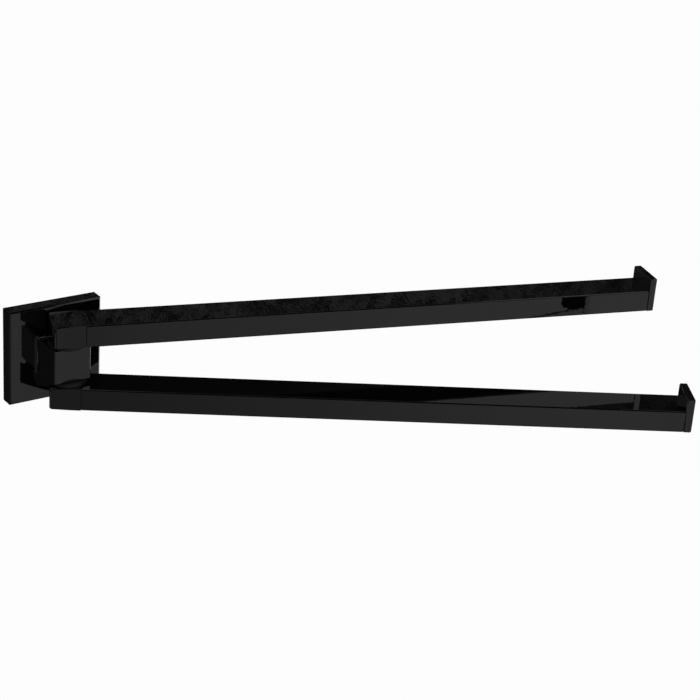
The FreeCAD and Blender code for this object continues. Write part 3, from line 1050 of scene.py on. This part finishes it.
# ---- arms
@dataclass
class SwingArm:
    """One arm in its own frame: pivot axis at the origin, +X out along the bar."""

    side: Side
    angle: float
    width: float = 22.5
    height: float = 12.7
    wall: float = 1.2
    edge: float = 0.6
    reach: float = 348.0
    tail: float = 8.6
    bulge: float = 0.6
    nose: float = 8.6
    corner: float = 1.8
    seam: float = 0.25
    spigot: float = 24.0
    cap_spigot: float = 15.0
    spigot_fit: float = 0.12
    spigot_edge: float = 1.0
    bush_radius: float = 5.65
    roof: float = 2.6
    cap_thick: float = 4.7
    cap_rise: float = 7.6
    cap_drop: float = 0.2
    cap_edge: float = 0.6
    softness: float = 0.07
    screw_inset: float = 9.0
    screw_turn: float = 0.4
    grub_level: float = 1.3
    grub_gap: float = 0.3
    groove_radius: float = 3.6
    pad_length: float = 3.6
    level: float = 18.3

    @property
    def half(self) -> tuple:
        """Half the bar's width and half its height."""
        return self.width / 2, self.height / 2

    @property
    def end(self) -> float:
        """X of the bar's outer end."""
        return self.reach - self.cap_thick

    @property
    def sign(self) -> int:
        """Side of the post that the arm is on: 1 above, -1 below."""
        return self.side.value

    def _carry(self, form: Form, name: str, node: str, slot: str,
               finish: Optional[Finish] = None) -> None:
        """Makes a form in the arm's own frame into a piece of the arm.

        Args:
            form: The form.
            name: The piece's name, without the arm's prefix.
            node: Name of the node that it stands for, without the prefix.
            slot: Name of the piece's material slot, kept on the piece and not used.
            finish: The finish; without one, gloss black whose grain follows the arm.
        """
        prefix = self.side.prefix
        finish = finish or BlackGloss(f"black_gloss_{prefix}_arm", self.angle, Coat.TUBE)
        spot = Matrix.Translation((0, PIVOT_Y, self.sign * self.level))
        place = spot @ Matrix.Rotation(math.radians(-self.angle), 4, "Z")
        piece = Piece(f"{prefix}_{name}", f"{prefix}_{node}", f"{prefix}_arm", slot, finish)
        piece.make(form, place)

    def _spigot(self, start: float, length: float) -> Form:
        """Tongue that fills the bar's end.

        Args:
            start: X of its root.
            length: How far it reaches, negative towards the pivot.

        Returns:
            The tongue, rooted a little inside its carrier.
        """
        half_y, half_z = (half - self.wall - self.spigot_fit for half in self.half)
        tip = start + length
        low, high = sorted((start - math.copysign(1.0, length), tip))
        tongue = Form.box((low, -half_y, -half_z), (high, half_y, half_z))
        return tongue.bevel(self.spigot_edge, lambda p: near(p.x, tip))

    def _screw_bore(self, x: float) -> Form:
        """Countersunk bore from the bar's underside.

        Args:
            x: How far out along the arm it sits.

        Returns:
            The bore as a solid.
        """
        face = -self.height / 2
        return Form.turned([(0, face - 1.1), (3.7, face - 1.1), (1.5, face + 1.1),
                            (1.5, face + 7.1), (0, face + 7.1)]).moved(x)

    def hub(self) -> None:
        """Builds the hub: crowned tail, flat bevels, bore for the bush and spigot for the bar."""
        half_y, half_z = self.half
        body = Form.prism(self._hub_outline(), -half_z, half_z)
        body.bevel(self.edge, lambda p: near(p.z, half_z) and p.x < self.nose - TINY)
        body.bevel(self.seam, lambda p: p.x > self.nose - TINY)
        body.join(self._spigot(self.nose, self.spigot))
        mouth = -self.sign * half_z
        low, high = sorted((mouth - self.sign, mouth + self.sign * (self.height - self.roof)))
        grub_hole = Form.rod(GRUB_HOLE, 0.0, half_y + 1, 40).facing(TO_WALL)
        body.cut(Form.rod(self.bush_radius, low, high, 64),
                 grub_hole.moved(z=-self.sign * self.grub_level),
                 self._screw_bore(self.nose + self.screw_inset))
        self._carry(body.softened(self.softness), "swivel_hub", "hub", "black_gloss")

    def _hub_outline(self) -> list:
        """Outline of the hub from above, anticlockwise.

        Returns:
            The outline's points.
        """
        half_y = self.width / 2
        radius = (half_y ** 2 + self.bulge ** 2) / (2 * self.bulge)
        centre = radius - self.tail - self.bulge
        y = half_y - self.corner
        x = centre - math.sqrt((radius - self.corner) ** 2 - y ** 2)
        meet = math.atan2(y, centre - x)
        quarter = math.pi / 2
        return ([(self.nose, -half_y), (self.nose, half_y)]
                + arc(x, y, self.corner, quarter, quarter - meet, 12)
                + arc(centre, 0.0, radius, math.pi - meet, 2 * meet, 24)[1:-1]
                + arc(x, -y, self.corner, math.pi + meet, quarter - meet, 12))

    def bar(self) -> None:
        """Builds the flat rectangular tube with its drilled ends."""
        half_y, half_z = self.half
        tube = Form.box((self.nose, -half_y, -half_z), (self.end, half_y, half_z))
        tube.bevel(self.edge, lambda p: near(p.y, half_y) and near(p.z, half_z))
        tube.bevel(self.seam, lambda p: p.x < self.nose + TINY)
        inner_y, inner_z = half_y - self.wall, half_z - self.wall
        tube.cut(Form.box((self.nose - 1, -inner_y, -inner_z), (self.end + 1, inner_y, inner_z)),
                 self._screw_bore(self.nose + self.screw_inset),
                 self._screw_bore(self.end - self.screw_inset))
        self._carry(tube.softened(self.softness), "flat_tube", "bar", "black_gloss_tube")

    def cap(self) -> None:
        """Builds the end cap: a bevelled plate that stands proud of the bar."""
        half_y, half_z = self.half
        plate = Form.box((self.end, -half_y, -half_z - self.cap_drop),
                         (self.reach, half_y, half_z + self.cap_rise))
        plate.bevel(self.cap_edge, lambda p: True).join(self._spigot(self.end, -self.cap_spigot))
        plate.cut(self._screw_bore(self.end - self.screw_inset))
        self._carry(plate.softened(self.softness), "towel_stop", "end_cap", "black_gloss")

    def fasteners(self) -> None:
        """Builds the arm's countersunk screws and its grub screw, and dresses bush and pad."""
        face = -self.height / 2
        screws = CountersunkScrew().form().moved(self.nose + self.screw_inset, 0, face)
        outer = CountersunkScrew().form().placed(Matrix.Rotation(self.screw_turn, 4, "Z"))
        screws.also(outer.moved(self.end - self.screw_inset, 0, face))
        self._carry(screws, "countersunk_screws", "bar_screws", "steel_screws", SCREW_STEEL)
        start = self.groove_radius + self.pad_length
        grub = GrubScrew().form(self.width / 2 - self.grub_gap - start).facing(TO_WALL)
        grub.moved(y=start, z=-self.sign * self.grub_level)
        self._carry(grub, "set_screw", "grub_screw", "steel_screws", SCREW_STEEL)
        dress(f"{self.side.prefix}_bush", BUSH_PLASTIC)
        dress(f"{self.side.prefix}_friction_pad", PAD_PLASTIC)

    def build(self) -> None:
        """Builds the arm from the pivot outwards."""
        self.hub()
        self.bar()
        self.cap()
        self.fasteners()


# ---- studio
def heading(azimuth: float, elevation: float) -> Vector:
    """Direction seen from the bar, in degrees: azimuth 0 is straight before the wall."""
    turn, rise = math.radians(azimuth), math.radians(elevation)
    return Vector((math.sin(turn), -math.cos(turn), math.tan(rise))).normalized()


@dataclass
class Softbox:
    """A soft rectangular light; angles in degrees, sizes in metres."""

    name: str
    azimuth: float
    elevation: float
    distance: float
    width: float
    height: float
    radiance: float

    def build(self, target: Vector) -> None:
        """Hangs the light so that it faces the target.

        Args:
            target: What it lights.
        """
        away = heading(self.azimuth, self.elevation)
        lamp = bpy.data.lights.new(self.name, "AREA")
        lamp.shape = "RECTANGLE"
        lamp.size = self.width
        lamp.size_y = self.height
        lamp.energy = self.radiance * math.pi * self.width * self.height
        holder = bpy.data.objects.new(self.name, lamp)
        holder.location = target + away * self.distance
        holder.rotation_euler = away.to_track_quat("Z", "Y").to_euler()
        holder.visible_camera = False
        bpy.context.scene.collection.objects.link(holder)


@dataclass
class Studio:
    """Pale floor and surround, grey card, soft light and the camera of the photograph."""

    azimuth: float = -35.695
    elevation: float = 23.746
    roll: float = 4.127
    focal_pixels: float = 1908.36
    frame_pixels: float = 700.0
    sensor: float = 36.0
    distance: float = 1059.75
    right: float = 167.197
    up: float = -2.488
    floor_level: float = -1.2
    floor_tone: float = 0.982
    dome_radius: float = 9.0
    dome_step: int = 6
    target: tuple = (0.12, -0.08, 0.0)
    boxes: tuple = (
        Softbox("key_box", 15.0, 25.0, 1.6, 1.95, 0.62, 1.10),
        Softbox("top_box", 180.0, 74.0, 1.6, 1.9, 1.3, 0.36),
        Softbox("rear_box", 172.0, -11.5, 1.8, 3.4, 0.46, 0.30),
        Softbox("rear_low_box", -173.0, -31.0, 1.8, 0.8, 0.86, 0.035),
        Softbox("left_low_box", -100.0, -24.0, 1.7, 0.60, 0.45, 0.28),
        Softbox("right_box", 105.0, -24.0, 1.8, 0.66, 0.5, 2.2),
        Softbox("left_box", -95.0, 35.0, 1.6, 0.6, 0.6, 0.5),
        Softbox("edge_box", 55.0, 46.0, 1.6, 0.6, 0.5, 0.35),
    )
    card_distance: float = 3.0
    card_width: float = 6.0
    card_low: float = -2.6
    card_high: float = -0.33
    card_levels: tuple = (
        (-3.0, 0.08), (-1.94, 0.12), (-1.65, 0.144), (-1.38, 0.172), (-1.13, 0.209), (-0.88, 0.231),
        (-0.6, 0.262), (-0.45, 0.25), (-0.3, 0.155), (-0.19, 0.193), (0.03, 0.217), (0.235, 0.236),
        (0.44, 0.26), (0.66, 0.265), (0.87, 0.29), (1.15, 0.285), (1.4, 0.247), (3.0, 0.25))
    dim: float = 0.008
    front_glow: float = 0.085
    front_right_glow: float = 0.15
    left_glow: float = 0.03
    corner_glow: float = 0.06
    cloud_glow: float = 0.064

    def camera(self) -> None:
        """Stands the camera where the photograph was taken from."""
        away = heading(self.azimuth, self.elevation)
        level = Vector((0, 0, 1)).cross(away).normalized()
        upright = away.cross(level)
        lean = math.radians(self.roll)
        across = level * math.cos(lean) + upright * math.sin(lean)
        over = upright * math.cos(lean) - level * math.sin(lean)
        spot = (across * self.right + over * self.up + away * self.distance) * MM
        lens = bpy.data.cameras.new("photo_camera")
        lens.sensor_width = self.sensor
        lens.lens = self.focal_pixels * self.sensor / self.frame_pixels
        lens.clip_start = 0.01
        lens.clip_end = 100.0
        holder = bpy.data.objects.new("photo_camera", lens)
        turn = Matrix((across, over, away)).transposed()
        holder.matrix_world = Matrix.Translation(spot) @ turn.to_4x4()
        bpy.context.scene.collection.objects.link(holder)
        bpy.context.scene.camera = holder

    @staticmethod
    def _stand(form: Form, paper: LitPaper, unseen: Sequence[str], height: float = 0.0) -> None:
        """Makes a form, in metres, into a lit paper of the studio.

        Args:
            form: The paper's form, which is used up.
            paper: Its finish, which names it.
            unseen: Kinds of ray that pass it: camera, diffuse, glossy or shadow.
            height: How high it stands.
        """
        made = form.shown(paper.name)
        made.data.materials.append(paper.material())
        made.location.z = height
        for ray in unseen:
            setattr(made, f"visible_{ray}", False)

    def surround(self) -> None:
        """Builds the pale floor and the pale surround behind it."""
        radius = self.dome_radius
        turns = [math.radians(turn) for turn in range(self.dome_step, 90, self.dome_step)]
        rise = [(radius * math.cos(turn), radius * math.sin(turn)) for turn in turns]
        for name, profile in (("pale_floor", [(0, 0), (radius, 0)]),
                              ("pale_surround", [(radius, 0)] + rise + [(0, radius)])):
            self._stand(Form.turned(profile, 96), LitPaper(name, self.floor_tone),
                        ("glossy", "diffuse", "shadow"), self.floor_level)

    def front_card(self) -> None:
        """Hangs a grey card before and below the bar, shaded along its width."""
        half, low, high = self.card_width / 2, self.card_low, self.card_high
        mesh = bmesh.new()
        mesh.faces.new([mesh.verts.new((x, -self.card_distance, z))
                        for x, z in ((-half, low), (half, low), (half, high), (-half, high))])
        paper = LitPaper("front_card", width=self.card_width, levels=self.card_levels)
        self._stand(Form(mesh), paper, ("camera", "diffuse", "shadow"))

    def air(self) -> None:
        """Gives the room its light: bright before the wall, dim and cloudy behind it."""
        world = bpy.data.worlds.new("studio_air")
        world.use_nodes = True
        bpy.context.scene.world = world
        graph = Graph(world.node_tree)
        where = graph.node("ShaderNodeTexCoord")["Generated"]
        parts = graph.node("ShaderNodeSeparateXYZ", {}, {"Vector": where})
        x, y, z = parts["X"], parts["Y"], parts["Z"]
        front = (-y).step(-0.05, 0.75) * (1.0 - z.step(0.50, 0.80))
        right = (x + 0.62).step(0.0, 0.75)
        left = (-x).step(0.20, 0.60) * (1.0 - z.step(-0.30, -0.10))
        corner = (0.15 - x).step(0.0, 0.2) * z.step(0.2, 0.3) * y.step(0.3, 0.6)
        behind = y.step(0.1, 0.5) * z.step(0.05, 0.25)
        clouds = graph.noise(where, 270.0, 0.0).step(0.36, 0.66) * (1.0 - 0.40 * x.step(0.56, 0.66))
        dusk = z.step(0.397, 0.413) * (1.0 - 0.4 * x.step(0.49, 0.58))
        level = (self.dim + front * (self.front_glow + self.front_right_glow * right)
                 + left * self.left_glow + corner * self.corner_glow
                 + behind * self.cloud_glow * clouds * (1.0 - dusk))
        glow = graph.node("ShaderNodeBackground", {}, {"Color": (1.0,) * 4, "Strength": level})
        graph.node("ShaderNodeOutputWorld", {}, {"Surface": glow["Background"]})

    def build(self) -> None:
        """Builds the studio."""
        self.camera()
        self.surround()
        self.front_card()
        self.air()
        for box in self.boxes:
            box.build(Vector(self.target))
        view = bpy.context.scene.view_settings
        view.view_transform = "Standard"
        view.look = "None"
        view.exposure = 0.0
        view.gamma = 1.0
        log.info("studio: camera, floor, surround, card and %d lights", len(self.boxes))


UPPER_ANGLE = 16.3  # resting angles from the wall, in degrees
LOWER_ANGLE = 31.0


def main() -> None:
    """Builds the towel bar and its studio."""
    logging.basicConfig(level=logging.INFO, format="%(name)s %(message)s")
    Studio().build()
    WallSide().build()
    Pivot().build()
    SwingArm(Side.UPPER, UPPER_ANGLE).build()
    SwingArm(Side.LOWER, LOWER_ANGLE).build()


if __name__ == "__main__":
    main()
